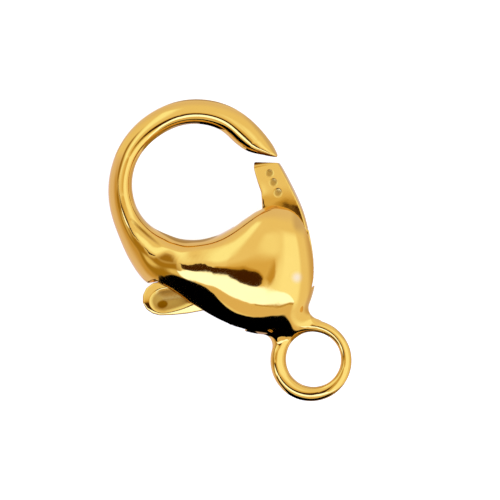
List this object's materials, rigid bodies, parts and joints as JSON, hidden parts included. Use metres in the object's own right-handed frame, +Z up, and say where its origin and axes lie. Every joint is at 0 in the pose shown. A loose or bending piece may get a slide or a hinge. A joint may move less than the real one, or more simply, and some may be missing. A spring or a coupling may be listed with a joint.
{
  "type": "lobster clasp",
  "caption": "Cast claw-shaped chain clasp with a round chain eye and a sprung trigger lever that opens the hook's mouth.",
  "frame": {"origin": "middle of the bottom of the clasp's box as it lies at rest", "axes": "+Z up, +Y from the chain eye towards the hook's crown; the clasp's own plane is pitched about 10 degrees down to the crown, because it rests on its belly and its crown"},
  "size_m": [0.0088, 0.0148, 0.0039],
  "materials": {
    "cast_gold": "polished yellow gold",
    "gold_pin": "polished pale gold, filed flush",
    "spring_strip": "plain rolled strip"
  },
  "bodies": {
    "claw_body": {"claw": "cast_gold", "rivet": "gold_pin", "leaf_spring": "spring_strip"},
    "lever_body": {"trigger_lever": "cast_gold"}
  },
  "joints": [
    {"name": "lever_hinge", "type": "hinge", "parent": "claw_body", "child": "lever_body", "pos_m": [0.00199, -0.0022, 0.00216], "axis": [0.0244, 0.1763, 0.984], "range_deg": [0, 20], "stiffness_Nm_per_rad": 0.01, "springref_deg": -28.65, "deforming": ["leaf_spring"]}
  ]
}
